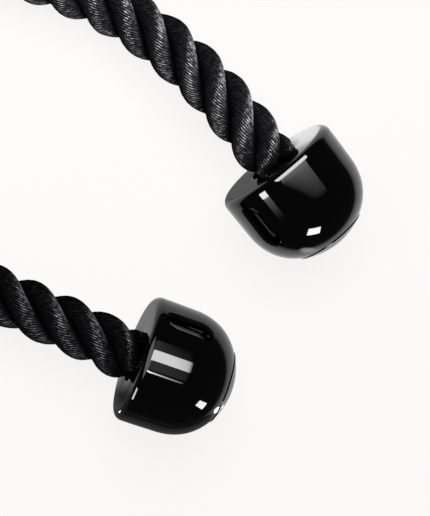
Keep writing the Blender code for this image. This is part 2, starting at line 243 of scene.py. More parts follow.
# The white sheet that the caps stand on, as each cap mirrors it: lit and shaded patches, with middle,
# half sizes, turn in degrees, the share of the half sizes that is full, and brightness, which is below
# zero for shade
SHEET_SIZE = 3.0
SHEET_LEVEL = 0.2 * MM
SHEETS = {
    "right": (
        ((0.036, -0.373), (0.230, 0.230), 0, 0.45, 0.84),
        ((-0.097, -0.490), (0.110, 0.026), 33, 0.3, 1.9),
        ((0.027, -0.340), (0.030, 0.024), 0, 0.4, -0.59),
        ((0.069, -0.361), (0.017, 0.009), 0, 0.3, 1.15),
    ),
    "left": (
        ((-0.073, -0.362), (0.240, 0.240), 0, 0.45, 0.65),
        ((-0.170, -0.392), (0.086, 0.140), 0, 0.85, -0.53),
        ((-0.072, -0.334), (0.034, 0.016), 0, 0.6, -0.22),
        ((-0.093, -0.340), (0.020, 0.009), 0, 0.1, -0.17),
        ((-0.0934, -0.4525), (0.026, 0.0055), 76, 0.8, 10),
        ((-0.0822, -0.4256), (0.008, 0.0016), 90, 0.8, 3),
        ((-0.1305, -0.3312), (0.0075, 0.0035), 145, 0.7, 7.5),
    ),
}

# Soft boxes that each cap mirrors: place, direction of the first side, size, brightness and fade. A
# fade names the side along which it goes, and where it is full and where none, from 0 to 1.
CAP_AIMS = {"right": (0.038, -0.369, 0.060), "left": (-0.0735, -0.358, 0.060)}
CAP_LAMPS = {
    "right": {
        "soft_box": (
            (0.283, -0.197, 0.580), (0.875, -0.394, -0.282), (0.793, 0.819), 17, ("Y", 0.46, 0.30),
        ),
        "soft_edge": (
            (0.191, -0.433, 0.637), (0.439, 0.898, -0.017), (0.314, 0.663), 2.9, ("X", 0.25, 0.0),
        ),
        "strip": (
            (-0.400, -0.159, 0.413), (0.545, -0.224, 0.808), (0.141, 0.289), 17, None,
        ),
        "strip_edge": (
            (-0.412, -0.193, 0.416), (0.546, -0.235, 0.804), (0.132, 0.286), 3.2, ("Y", 0.2, 0.0),
        ),
        "panel": (
            (-0.310, -0.784, 0.318), (0.466, 0.151, 0.872), (0.151, 0.207), 22, None,
        ),
    },
    "left": {
        "soft_box": (
            (0.148, -0.318, 0.616), (-0.907, -0.189, 0.375), (0.205, 0.413), 15, ("Y", 0.82, 1.0),
        ),
        "band": (
            (0.143, -0.300, 0.616), (-0.249, 0.969, -0.004), (0.414, 0.623), 0.62, ("X", 0.2, 0.0),
        ),
        "tube": (
            (-0.164, -0.366, 0.653), (0.982, 0.113, 0.151), (0.028, 0.318), 27, ("Y", 0.25, 0.0),
        ),
        "back_box": (
            (-0.032, 0.079, 0.469), (0.806, -0.443, 0.392), (0.459, 0.745), 2.5, None,
        ),
        "back_tube": (
            (-0.569, -0.063, 0.226), (0.522, 0.478, 0.706), (0.225, 0.194), 14, None,
        ),
        "panel": (
            (-0.285, -0.894, 0.228), (-0.126, 0.341, 0.932), (0.214, 0.106), 18, None,
        ),
    },
}

# Lamps that light the rest: place, aim, size and brightness
ROOM_LAMPS = {
    "overhead": ((0.42, -0.02, 0.95), (-0.02, -0.36, 0.02), (0.9, 0.9), 5.4),
    "rope_key": ((0.016, -0.740, 1.110), (0.02, -0.25, 0.02), (0.5, 1.1), 52),
    "rope_low": ((-0.064, -0.740, 1.110), (-0.06, -0.25, 0.02), (0.5, 1.1), 19),
    "chrome_tent": ((0.10, 0.12, 0.80), (0.0, 0.03, 0.02), (3.8, 3.6), 1.1),
    "chrome_wall": ((-0.75, -0.25, 0.35), (0.0, 0.03, 0.02), (0.8, 0.8), 1.5),
}

# The groups of pieces that each of these lights alone, and those that it leaves out
ROOM_LAMP_LINKS = {
    "overhead": ((), ("caps", "ropes", "chrome")),
    "rope_key": ((), ("caps", "floor", "left", "chrome")),
    "rope_low": (("left",), ()),
    "chrome_tent": (("chrome",), ()),
    "chrome_wall": (("chrome",), ()),
}
CHROME_FADE = ("round", 0.12, 0.5)


def linear(code):
    """An sRGB hex colour as linear red, green, blue and alpha."""
    channels = [int(code[at : at + 2], 16) / 255 for at in (0, 2, 4)]
    return [c / 12.92 if c <= 0.04045 else ((c + 0.055) / 1.055) ** 2.4 for c in channels] + [1]


def feed(tree, node, inputs):
    """Sets a node's inputs to values or links them, where a node stands for its first output in use."""
    for socket, value in inputs.items():
        if isinstance(value, bpy.types.Node):
            value = next(output for output in value.outputs if output.enabled)
        if isinstance(value, bpy.types.NodeSocket):
            tree.links.new(value, node.inputs[socket])
        else:
            node.inputs[socket].default_value = value


def add_node(tree, kind, inputs=None, **settings):
    """A node in the tree, with its settings and what feeds its inputs."""
    made = tree.nodes.new(kind)
    for name, value in settings.items():
        setattr(made, name, value)
    feed(tree, made, inputs or {})
    return made


def new_material(name):
    """A new material, its node tree and its shader."""
    made = bpy.data.materials.new(name)
    made.use_nodes = True
    return made, made.node_tree, made.node_tree.nodes["Principled BSDF"]


def twisted_nylon():
    """Black nylon, spun-dyed and twisted. Painted glints lighten its colour and specular tint in short
    grey wisps on the yarns' crests, and leave it black between the yarns as painted shade. The rope's UV
    map counts yarns across and millimetres along, and its attribute crown keeps the painted glints out of
    the grooves between the strands, as painted shade there too."""
    made, tree, shader = new_material("nylon_black_twisted")
    across = add_node(tree, "ShaderNodeTangent", direction_type="UV_MAP", uv_map="UVMap")
    place = add_node(tree, "ShaderNodeUVMap", uv_map="UVMap")
    width, length = YARN_SWAY
    slow = add_node(tree, "ShaderNodeMapping", {"Vector": place, "Scale": (1 / width, 1 / length, 1)})
    sway = add_node(tree, "ShaderNodeTexNoise", {"Vector": slow, "Scale": 1, "Detail": 1})
    split = add_node(tree, "ShaderNodeSeparateXYZ", {"Vector": place})
    yarn = add_node(
        tree, "ShaderNodeMath", {0: sway, 1: 0.35, 2: split.outputs["X"]}, operation="MULTIPLY_ADD"
    )
    ridge = add_node(tree, "ShaderNodeMath", {0: yarn, 1: 0.5}, operation="PINGPONG")
    crest = add_node(
        tree, "ShaderNodeMapRange", {"Value": ridge, "From Min": 0.18, "From Max": 0.42},
        interpolation_type="SMOOTHSTEP",
    )
    swayed = add_node(tree, "ShaderNodeCombineXYZ", {"X": yarn, "Y": split.outputs["Y"]})
    width, length = YARN_WISP
    along = add_node(tree, "ShaderNodeMapping", {"Vector": swayed, "Scale": (1 / width, 1 / length, 1)})
    wisps = add_node(tree, "ShaderNodeTexNoise", {"Vector": along, "Scale": 1, "Detail": 2})
    wisp = add_node(
        tree, "ShaderNodeMapRange", {"Value": wisps, "From Min": 0.42, "From Max": 0.62, "To Min": 0.12}
    )
    # Painted shade: the crown attribute darkens colour and specular tint in the grooves between the
    # strands, where shade falls
    lift = add_node(tree, "ShaderNodeAttribute", attribute_name="crown")
    wear_and_groove_shade = add_node(
        tree, "ShaderNodeMapRange", {"Value": lift.outputs["Fac"], "From Min": 0.58, "From Max": 0.78},
        interpolation_type="SMOOTHSTEP",
    )
    on_crest = add_node(tree, "ShaderNodeMath", {0: crest, 1: wear_and_groove_shade}, operation="MULTIPLY")
    glint = add_node(tree, "ShaderNodeMath", {0: on_crest, 1: wisp}, operation="MULTIPLY")
    # Painted glints: colour and specular tint are lighter where glint is high, on the yarns' crests in
    # wisps, and dark between the yarns as painted shade
    tint = add_node(
        tree, "ShaderNodeMix",
        {"Factor": glint, "A": linear("050506"), "B": linear("1b1a1c")}, data_type="RGBA",
    )
    shine = add_node(
        tree, "ShaderNodeMix",
        {"Factor": glint, "A": linear("080809"), "B": linear("f4f2f8")}, data_type="RGBA",
    )
    rough = add_node(tree, "ShaderNodeMapRange", {"Value": glint, "To Min": 0.6, "To Max": 0.39})
    bump = add_node(tree, "ShaderNodeBump", {"Height": glint, "Strength": 1, "Distance": GLINT_DEPTH})
    feed(tree, shader, {
        "IOR": 1.53, "Specular IOR Level": 1, "Anisotropic": 1, "Tangent": across,
        "Base Color": tint, "Specular Tint": shine, "Roughness": rough, "Normal": bump,
    })
    return made


def gloss_abs():
    """Black ABS from a polished mould: deep black with mirror-like reflections, very slightly uneven."""
    made, tree, shader = new_material("abs_black_moulded_gloss")
    place = add_node(tree, "ShaderNodeTexCoord")
    width, depth = MOULD_SWELL
    swell = add_node(
        tree, "ShaderNodeTexNoise", {"Vector": place.outputs["Object"], "Scale": 1 / width, "Detail": 1}
    )
    bump = add_node(tree, "ShaderNodeBump", {"Height": swell, "Strength": 0.04, "Distance": depth})
    feed(tree, shader, {"Base Color": linear("030304"), "Roughness": 0.035, "IOR": 1.5, "Normal": bump})
    return made


def melted_nylon():
    """Nylon yarns melted into one skin with a hot knife: black, lumpy and half glossy."""
    made, tree, shader = new_material("nylon_black_melted")
    place = add_node(tree, "ShaderNodeTexCoord")
    width, depth = MELTED_LUMP
    lumps = add_node(
        tree, "ShaderNodeTexNoise", {"Vector": place.outputs["Object"], "Scale": 1 / width, "Detail": 4}
    )
    tint = add_node(
        tree, "ShaderNodeMix",
        {"Factor": lumps, "A": linear("09090a"), "B": linear("1d1c1f")}, data_type="RGBA",
    )
    rough = add_node(tree, "ShaderNodeMapRange", {"Value": lumps, "To Min": 0.2, "To Max": 0.55})
    bump = add_node(tree, "ShaderNodeBump", {"Height": lumps, "Strength": 1, "Distance": depth})
    feed(tree, shader, {"IOR": 1.53, "Base Color": tint, "Roughness": rough, "Normal": bump})
    return made


def chromed_steel():
    """Steel bar and band, belt polished and chrome plated: bright and mirror-like, with the polished
    steel's slow waves below the plate, fine polishing lines and dull patches where hooks and hands rub."""
    made, tree, shader = new_material("steel_chromed_polished")
    place = add_node(tree, "ShaderNodeTexCoord")
    wear_and_groove_shade = add_node(
        tree, "ShaderNodeTexNoise",
        {"Vector": place.outputs["Object"], "Scale": 1 / WORN_PATCH, "Detail": 5},
    )
    worn = add_node(tree, "ShaderNodeMapRange", {"Value": wear_and_groove_shade, "From Min": 0.46, "From Max": 0.72})
    tint = add_node(
        tree, "ShaderNodeMix",
        {"Factor": worn, "A": linear("d3d6d9"), "B": linear("b3b5b8")}, data_type="RGBA",
    )
    width, length, line_depth = POLISHING_LINE
    drawn = add_node(
        tree, "ShaderNodeMapping",
        {"Vector": place.outputs["Object"], "Scale": (1 / width, 1 / length, 1 / width)},
    )
    lines = add_node(tree, "ShaderNodeTexNoise", {"Vector": drawn, "Scale": 1, "Detail": 2})
    rough = add_node(tree, "ShaderNodeMath", {0: worn, 1: 0.11, 2: 0.07}, operation="MULTIPLY_ADD")
    grained = add_node(tree, "ShaderNodeMath", {0: lines, 1: 0.06, 2: rough}, operation="MULTIPLY_ADD")
    width, wave_depth = PLATE_WAVE
    waves = add_node(
        tree, "ShaderNodeTexNoise", {"Vector": place.outputs["Object"], "Scale": 1 / width, "Detail": 1}
    )
    slow = add_node(tree, "ShaderNodeBump", {"Height": waves, "Strength": 0.25, "Distance": wave_depth})
    fine = add_node(
        tree, "ShaderNodeBump",
        {"Height": lines, "Strength": 0.3, "Distance": line_depth, "Normal": slow},
    )
    feed(tree, shader, {"Metallic": 1, "Base Color": tint, "Roughness": grained, "Normal": fine})
    return made


def zinc_steel():
    """Pressed steel, zinc plated and passivated: dull blue-grey, spangled, with a yellow cast."""
    made, tree, shader = new_material("steel_zinc_plated")
    place = add_node(tree, "ShaderNodeTexCoord")
    cast = add_node(
        tree, "ShaderNodeTexNoise",
        {"Vector": place.outputs["Object"], "Scale": 1 / PASSIVATED_CAST, "Detail": 3},
    )
    width, depth = ZINC_SPANGLE
    spangle = add_node(
        tree, "ShaderNodeTexVoronoi", {"Vector": place.outputs["Object"], "Scale": 1 / width}
    )
    tint = add_node(
        tree, "ShaderNodeMix",
        {"Factor": cast, "A": linear("b9bcc0"), "B": linear("a5a291")}, data_type="RGBA",
    )
    rough = add_node(tree, "ShaderNodeMapRange", {"Value": spangle, "To Min": 0.3, "To Max": 0.52})
    bump = add_node(tree, "ShaderNodeBump", {"Height": spangle, "Strength": 0.3, "Distance": depth})
    feed(tree, shader, {"Metallic": 1, "Base Color": tint, "Roughness": rough, "Normal": bump})
    return made


def smoothstep(share):
    """A share from 0 to 1, eased in and out."""
    share = np.clip(share, 0, 1)
    return share * share * (3 - 2 * share)


def mirrored(point, at, axis):
    """The point on the other side of the plane through at that is square to the axis."""
    return point + 2 * np.dot(at - point, axis) * axis


def smooth_line(route, start_axis, end_axis):
    """Closely spaced points of a Catmull-Rom curve through a route, square to both its ends."""
    points = [np.array(point, float) for point in route]
    before = mirrored(points[1], points[0], np.array(start_axis, float))
    after = mirrored(points[-2], points[-1], np.array(end_axis, float))
    points = [before, *points, after]
    line = []
    for p0, p1, p2, p3 in zip(points, points[1:], points[2:], points[3:]):
        for step in range(ROUTE_SAMPLES):
            t = step / ROUTE_SAMPLES
            squared = (2 * p0 - 5 * p1 + 4 * p2 - p3) * t**2
            cubed = (3 * p1 - p0 - 3 * p2 + p3) * t**3
            line.append(p1 + ((p2 - p0) * t + squared + cubed) / 2)
    line.append(points[-2])
    return np.array(line)


def distances(line):
    """How far along a line each of its points is."""
    return np.concatenate([[0], np.cumsum(np.linalg.norm(np.diff(line, axis=0), axis=1))])


def points_at(line, at):
    """The points at these distances along a line."""
    along = distances(line)
    return np.stack([np.interp(at, along, column) for column in line.T], axis=-1)


def cap_axis(side):
    """The way a cap points, from its back face to its dome."""
    turn = math.radians(CAP_TURNS[side])
    return np.array((math.sin(turn), -math.cos(turn), 0))


def cap_height(side):
    """How high a cap's axis is. It lies on the floor, so this is its radius too."""
    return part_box(f"cap_body_{side}")[1].z / 2


def in_cap(side, distance):
    """The point on a cap's axis at this distance from its back face."""
    return np.array((*LEG_ROUTES[side][-1], cap_height(side))) + cap_axis(side) * distance


def leg_line(side):
    """A free leg's centreline, from the collar's mouth to the cap's."""
    at_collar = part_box("collar")[1].z / 2 - REST_HEIGHT
    at_cap = cap_height(side) - REST_HEIGHT
    flat = smooth_line(LEG_ROUTES[side], (0, 1), cap_axis(side)[:2])
    along = distances(flat)
    settled = 1 - smoothstep(along / SETTLE_LENGTH)
    risen = smoothstep(1 - (along[-1] - along) / RISE_LENGTH)
    return np.column_stack([flat, REST_HEIGHT + at_collar * settled + at_cap * risen])


def strand_outline():
    """One strand's section as points (out from the rope's middle, across), its third of the rope with
    a bulging crown, two nearly straight flanks against its neighbours and rounded corners."""
    centre = STRAND_CROWN - STRAND_DEPTH
    reach = math.pi / STRANDS
    crown = []
    for step in range(-CROWN_STEPS, CROWN_STEPS + 1):
        angle = CROWN_REACH * step / CROWN_STEPS
        x = centre + STRAND_DEPTH * math.cos(angle)
        y = STRAND_WIDTH * math.sin(angle)
        if abs(math.atan2(y, x)) < reach:
            crown.append((x, y))
    flank = STRAND_FLANK * np.array((math.cos(reach), math.sin(reach)))
    closed = np.vstack([crown, flank, (STRAND_CORNER, 0), flank * (1, -1), crown[0]])
    girth = distances(closed)[-1]
    shape = points_at(closed, np.linspace(0, girth, OUTLINE_STEPS + 1)[:-1])
    spread = max(1, round(STRAND_CORNER / (girth / OUTLINE_STEPS)))
    kernel = np.hanning(2 * spread + 1)
    kernel /= kernel.sum()
    wrapped = np.vstack([shape[-spread:], shape, shape[:spread]])
    soft = np.stack([np.convolve(column, kernel, "valid") for column in wrapped.T], axis=1)
    soft[:, 0] *= STRAND_CROWN / soft[:, 0].max()
    angle = np.arctan2(soft[:, 1], soft[:, 0])
    radius = np.hypot(*soft.T)
    limit = reach - np.minimum(STRAND_GAP / 2 / np.maximum(radius, STRAND_GAP), reach / 2)
    angle = np.clip(angle, -limit, limit)
    return np.stack([radius * np.cos(angle), radius * np.sin(angle)], axis=1)


def sides_along(line):
    """At each point of a line: the level way to its left, and the way up that is square to both."""
    tangent = np.gradient(line, axis=0)
    tangent /= np.linalg.norm(tangent, axis=1)[:, None]
    left = np.cross((0, 0, 1), tangent)
    left /= np.linalg.norm(left, axis=1)[:, None]
    return left, np.cross(tangent, left)


def laid_rope(name, line, radii, phase, finish, seed, yarn_turn=1):
    """Three right-laid strands along a line, one closed mesh each, joined. The mesh's columns follow the
    yarns, which turn back in each strand so that they lie along the rope on its crowns. Its attribute
    crown is how far out each point lies, from 1 on the crowns down into the grooves."""
    outline = strand_outline()
    closed = np.vstack([outline, outline[:1]])
    girth = distances(closed)[-1]
    per_yarn = len(YARN_COLUMN_SHARES)
    columns = YARNS * per_yarn
    along = distances(line)
    count = round(along[-1] / RING_SPACING) + 1
    stations = np.linspace(0, along[-1], count)
    centres = points_at(line, stations)
    left, up = sides_along(centres)
    scale = np.interp(stations, along, radii) / STRAND_CROWN
    chance = np.random.RandomState(seed)
    ridge = np.tile(YARN_COLUMN_SHARES, YARNS)
    slow_knots = np.linspace(0, along[-1], UNEVEN_KNOTS)
    knots = np.linspace(0, along[-1], round(along[-1] / YARN_SWELL))
    slip = yarn_turn * 2 * math.pi * STRAND_CROWN / LAY_LENGTH
    verts, faces, uvs, crowns = [], [], [], []
    for strand in range(STRANDS):
        start = len(verts)
        chances = chance.uniform(-UNEVEN_SHARE, UNEVEN_SHARE, UNEVEN_KNOTS)
        uneven = np.interp(stations, slow_knots, chances)
        swells = []
        for _ in range(YARNS):
            chances = chance.uniform(*YARN_SWELL_SHARES, len(knots))
            swells.append(np.interp(stations, knots, chances))
        swells = np.repeat(np.array(swells).T, per_yarn, axis=1)
        for ring in range(count):
            at = (np.arange(columns) / columns * girth - slip * stations[ring]) % girth
            x, y = points_at(closed, at).T
            crowns.extend((np.hypot(x, y) / STRAND_CROWN).tolist())
            ahead = points_at(closed, (at + NORMAL_REACH) % girth)
            run = ahead - points_at(closed, (at - NORMAL_REACH) % girth)
            normal = np.stack([run[:, 1], -run[:, 0]], axis=1)
            normal /= np.linalg.norm(normal, axis=1)[:, None]
            raised = ridge * swells[ring] * YARN_RIDGE
            x, y = x + normal[:, 0] * raised, y + normal[:, 1] * raised
            turn = 2 * math.pi * (stations[ring] / LAY_LENGTH + strand / STRANDS) + phase
            size = scale[ring] * (1 + uneven[ring])
            across = size * (x * math.cos(turn) - y * math.sin(turn))
            high = size * (x * math.sin(turn) + y * math.cos(turn))
            points = centres[ring] + across[:, None] * left[ring] + high[:, None] * up[ring]
            verts.extend(points.tolist())
        for ring in range(count - 1):
            v0, v1 = stations[ring] / MM, stations[ring + 1] / MM
            for column in range(columns):
                a = start + ring * columns + column
                b = start + ring * columns + (column + 1) % columns
                faces.append((a, b, b + columns, a + columns))
                u0, u1 = (at / per_yarn + strand * YARNS for at in (column, column + 1))
                uvs.extend(((u0, v0), (u1, v0), (u1, v1), (u0, v1)))
        for ring, turned_round in ((0, True), (count - 1, False)):
            row = [start + ring * columns + column for column in range(columns)]
            faces.append(tuple(reversed(row)) if turned_round else tuple(row))
            uvs.extend([(strand * YARNS, stations[ring] / MM)] * columns)
    mesh = bpy.data.meshes.new(name)
    mesh.from_pydata(verts, [], faces)
    layer = mesh.uv_layers.new(name="UVMap")
    layer.data.foreach_set("uv", np.array(uvs, np.float32).ravel())
    lift = mesh.attributes.new("crown", "FLOAT", "POINT")
    lift.data.foreach_set("value", np.array(crowns, np.float32))
    mesh.shade_smooth()
    mesh.materials.append(finish)
    made = bpy.data.objects.new(name, mesh)
    bpy.context.collection.objects.link(made)
    return made, centres


def new_circle(name, sides, radius, location, rotation=(0, 0, 0)):
    """A circle of edges to draw a piece from, and nothing else selected."""
    bpy.ops.object.select_all(action="DESELECT")
    bpy.ops.mesh.primitive_circle_add(vertices=sides, radius=radius, location=location, rotation=rotation)
    piece = bpy.context.object
    piece.name = piece.data.name = name
    return piece


def draw_out(x, y, z):
    """Extrudes the selected edges by this much."""
    bpy.ops.mesh.extrude_region_move(TRANSFORM_OT_translate={"value": (x, y, z)})


def close_ring():
    """Closes the selected ring of edges with a fan of faces from its middle."""
    draw_out(0, 0, 0)
    bpy.ops.mesh.merge(type="CENTER")


def finish_shape():
    """Merges the doubles, turns all faces outwards and puts the piece's place into its mesh."""
    bpy.ops.mesh.select_all(action="SELECT")
    bpy.ops.mesh.remove_doubles(threshold=MERGE_DISTANCE)
    bpy.ops.mesh.normals_make_consistent(inside=False)
    bpy.ops.object.mode_set(mode="OBJECT")
    bpy.ops.object.transform_apply(location=True, rotation=True, scale=True)
    bpy.ops.object.shade_smooth_by_angle(angle=math.radians(SMOOTH_ANGLE))


def turned(name, outline, sides):
    """A solid turned round +Z: a circle drawn out and scaled ring by ring along the outline of (radius,
    height) pairs. The outline is closed, or both its ends are on the axis, at radius 0."""
    rings = [pair for pair in outline if pair[0] > 0]
    piece = new_circle(name, sides, rings[0][0], (0, 0, rings[0][1]))
    bpy.ops.object.mode_set(mode="EDIT")
    bpy.ops.mesh.select_all(action="SELECT")
    for (radius, height), (wider, higher) in zip(rings, rings[1:]):
        draw_out(0, 0, higher - height)
        share = wider / radius
        bpy.ops.transform.resize(value=(share, share, 1), center_override=(0, 0, higher))
    if outline[0][0] == 0:
        close_ring()
        bpy.ops.mesh.select_all(action="DESELECT")
        bpy.ops.object.mode_set(mode="OBJECT")
        for vertex in piece.data.vertices[:sides]:
            vertex.select = True
        bpy.ops.object.mode_set(mode="EDIT")
        close_ring()
    finish_shape()
    return piece


def arc(centre, radius, start_deg, end_deg, steps):
    """Points on an arc of an outline, both its ends among them."""
    points = []
    for step in range(steps + 1):
        angle = math.radians(start_deg + (end_deg - start_deg) * step / steps)
        points.append((centre[0] + radius * math.cos(angle), centre[1] + radius * math.sin(angle)))
    return points


def dome_height(cap_radius, radius):
    """Height of the dome's surface at this radius, on a curve a little fuller than an ellipse."""
    share = radius / (cap_radius - CAP_DRAFT)
    return CAP_BARREL + CAP_DOME * (1 - share**CAP_DOME_FULLNESS) ** (1 / CAP_DOME_FULLNESS)


def shell_outline(cap_radius, end_radius):
    """The cap's outer surface from its back round to this radius on the dome, in one smooth sweep: the
    barrel's draft eases out over the dome's beginning."""
    dome_radius = cap_radius - CAP_DRAFT
    places = []
    for step in range(BARREL_STEPS):
        places.append((dome_radius, CAP_BACK_ROUND + (CAP_BARREL - CAP_BACK_ROUND) * step / BARREL_STEPS))
    for step in range(SHELL_STEPS + 1):
        radius = dome_radius * math.cos(math.acos(end_radius / dome_radius) * step / SHELL_STEPS)
        places.append((radius, dome_height(cap_radius, radius)))
    outline = []
    for radius, height in places:
        eased = 1 - float(smoothstep((height - CAP_BACK_ROUND) / CAP_TAPER))
        outline.append((radius + CAP_DRAFT * eased, height))
    return outline


def cap_frame(side):
    """From a cap's own frame, back face at the origin and dome up +Z, to its place."""
    turn = Vector(cap_axis(side)).to_track_quat("Z", "X")
    return Matrix.Translation(Vector(in_cap(side, 0))) @ turn.to_matrix().to_4x4()


def put(piece, matrix, body, slot, finish, *nodes):
    """Bakes the piece's place into its mesh, gives it its material and sets it on its body."""
    piece.data.transform(matrix)
    piece.data.materials.clear()
    piece.data.materials.append(finish)
    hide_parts(*nodes)
    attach(piece, body)


def cap_body(side, finish):
    """A ball cap: its shell with the seat for the plug, and its stepped bore."""
    cap_radius = cap_height(side)
    seat_radius = PLUG_RADIUS + PLUG_SEAM
    seat_rim = dome_height(cap_radius, seat_radius + SEAT_EDGE)
    seat = dome_height(cap_radius, seat_radius) - PLUG_SEAT_DEPTH
    front_bore = PLUG_SKIRT_RADIUS + FIT_GAP
    lip = (BORE_RADIUS + CAP_MOUTH_ROUND, CAP_MOUTH_ROUND)
    back = (cap_radius - CAP_BACK_ROUND, CAP_BACK_ROUND)
    outline = arc(lip, CAP_MOUTH_ROUND, 180, 270, steps=6)
    outline += [(BORE_RADIUS + (back[0] - BORE_RADIUS) / 2, 0)]
    outline += arc(back, CAP_BACK_ROUND, -90, 0, steps=18)[:-1]
    outline += shell_outline(cap_radius, seat_radius + SEAT_EDGE)
    outline += [(seat_radius, seat_rim - SEAT_EDGE / 2), (seat_radius, seat), (front_bore, seat)]
    outline += [(front_bore, seat - CAP_FLANGE), (CAP_COUNTERBORE, seat - CAP_FLANGE)]
    outline += [(CAP_COUNTERBORE, CAP_THROAT), (BORE_RADIUS, CAP_THROAT), outline[0]]
    piece = turned(f"ball_cap_{side}", outline, CAP_SIDES)
    put(piece, cap_frame(side), f"{side}_end", "cap_plastic", finish, f"cap_body_{side}")


def end_plug(side, finish):
    """The lid in a cap's dome: a crowned face with a rounded rim, and a skirt."""
    cap_radius = cap_height(side)
    rim_top = dome_height(cap_radius, PLUG_RADIUS) + PLUG_PROUD
    underside = dome_height(cap_radius, PLUG_RADIUS + FIT_GAP) - PLUG_SEAT_DEPTH + FIT_GAP
    crown = CAP_BARREL + CAP_DOME + PLUG_PROUD
    crown_radius = PLUG_RADIUS - PLUG_RIM_ROUND
    skirt_end = underside - PLUG_SKIRT_LENGTH
    skirt_bore = PLUG_SKIRT_RADIUS - PLUG_SKIRT_WALL
    outline = [(0, crown)]
    for step in range(1, PLUG_CROWN_STEPS + 1):
        share = step / PLUG_CROWN_STEPS
        outline.append((crown_radius * share, crown - (crown - rim_top) * share**2))
    rim = (crown_radius, rim_top - PLUG_RIM_ROUND)
    outline += arc(rim, PLUG_RIM_ROUND, PLUG_RIM_START, 0, steps=6)
    outline += [(PLUG_RADIUS, underside), (PLUG_SKIRT_RADIUS, underside), (PLUG_SKIRT_RADIUS, skirt_end)]
    outline += [(skirt_bore, skirt_end), (skirt_bore, underside), (0, underside)]
    piece = turned(f"snap_plug_{side}", outline, CAP_SIDES)
    put(piece, cap_frame(side), f"{side}_end", "cap_plastic", finish, f"end_plug_{side}")


def washer(side, finish):
    """A stamped ring, its corners broken on one face by the die and on the other by the tumbler."""
    low = WASHER_START
    high = WASHER_START + WASHER_THICKNESS
    edge = WASHER_EDGE
    outline = arc((BORE_RADIUS + edge, low + edge), edge, 180, 270, steps=3)
    outline += arc((WASHER_RADIUS - edge, low + edge), edge, -90, 0, steps=3)
    outline += arc((WASHER_RADIUS - edge, high - edge), edge, 0, 90, steps=3)
    outline += arc((BORE_RADIUS + edge, high - edge), edge, 90, 180, steps=3) + [outline[0]]
    piece = turned(f"bearing_washer_{side}", outline, CAP_SIDES // 2)
    put(piece, cap_frame(side), f"{side}_end", "zinc_steel", finish, f"washer_{side}")


def ferrule(side, finish):
    """A sleeve crimped on the rope's end, with two rolled grooves."""
    outer = BORE_RADIUS + FERRULE_WALL
    edge = FERRULE_EDGE
    steps = FERRULE_GROOVE_STEPS
    outline = arc((outer - edge, FERRULE_START + edge), edge, -90, 0, steps=4)
    for share in FERRULE_GROOVE_SHARES:
        middle = FERRULE_START + (FERRULE_END - FERRULE_START) * share
        for step in range(-steps, steps + 1):
            depth = FERRULE_GROOVE * math.cos(math.pi / (2 * steps) * step) ** 2
            outline.append((outer - depth, middle + 2 * FERRULE_GROOVE * step / steps))
    outline += arc((outer - edge, FERRULE_END - edge), edge, 0, 90, steps=4)
    edge = FERRULE_EDGE / 2
    outline += arc((BORE_RADIUS + edge, FERRULE_END - edge), edge, 90, 180, steps=3)
    outline += arc((BORE_RADIUS + edge, FERRULE_START + edge), edge, 180, 270, steps=3) + [outline[0]]
    piece = turned(f"crimp_ferrule_{side}", outline, CAP_SIDES // 2)
    put(piece, cap_frame(side), f"{side}_end", "zinc_steel", finish, f"ferrule_{side}")


def rope_tail(side, finish, melted, seed):
    """The rope's end inside the cap, through the washer and the ferrule to where it was melted off."""
    tip_start = TAIL_END - TIP_LENGTH
    places = np.linspace(THROAT_OVERLAP, TAIL_END - TIP_LENGTH / 2, TAIL_POINTS)
    line = np.array([in_cap(side, place) for place in places])
    into_tip = np.clip((places - TAIL_END + TIP_LENGTH) / TIP_LENGTH, 0, 1)
    radii = TAIL_RADIUS - TIP_LENGTH * (1 - np.sqrt(1 - into_tip**2))
    piece, _ = laid_rope(f"rope_tail_{side}", line, radii, 0, finish, seed)
    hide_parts(f"rope_end_{side}")
    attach(piece, f"{side}_end")
    rim = TAIL_RADIUS - TIP_LENGTH - TIP_INSET
    outline = [(TAIL_RADIUS * ring / TIP_BASE_RINGS, tip_start) for ring in range(TIP_BASE_RINGS)]
    outline += arc((rim, tip_start), TIP_LENGTH, 0, 90, steps=8)
    outline += [(rim * ring / TIP_FACE_RINGS, TAIL_END) for ring in reversed(range(TIP_FACE_RINGS))]
    tip = turned(f"melted_tip_{side}", outline, TIP_SIDES)
    for vertex in tip.data.vertices:
        if vertex.co.z > TAIL_END - TIP_LENGTH * TIP_LUMPY_SHARE:
            lump = 0.5 + noise.noise(vertex.co / TIP_LUMP_WIDTH) / 2
            vertex.co -= vertex.normal * TIP_LUMP_DEPTH * lump
    put(tip, cap_frame(side), f"{side}_end", "rope", melted)


def rope_eye(finish, seed):
    """The rope's bight: out of the collar, opening, and round through the link ring."""
    half = []
    start, end = EYE_NECK
    for y in np.linspace(EYE_START, end, EYE_NECK_POINTS):
        half.append((LEG_X + (EYE_BEND - LEG_X) * smoothstep((y - start) / (end - start)), y))
    for step in range(1, EYE_BEND_STEPS + 1):
        angle = math.pi / 2 * step / EYE_BEND_STEPS
        half.append((EYE_BEND * math.cos(angle), end + EYE_BEND * math.sin(angle)))
    flat = np.array(half + [(-x, y) for x, y in reversed(half[:-1])])
    rise_start, rise_length, rise = EYE_RISE
    collar_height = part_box("collar")[1].z / 2
    heights = collar_height + rise * smoothstep((flat[:, 1] - rise_start) / rise_length)
    places, crowns = np.array(EYE_CROWNS).T * MM
    radii = np.interp(flat[:, 1], places, crowns)
    line = np.column_stack([flat, heights])
    piece, _ = laid_rope("laid_rope_eye", line, radii, EYE_PHASE, finish, seed)
    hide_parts("rope_bight")
    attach(piece, "yoke")


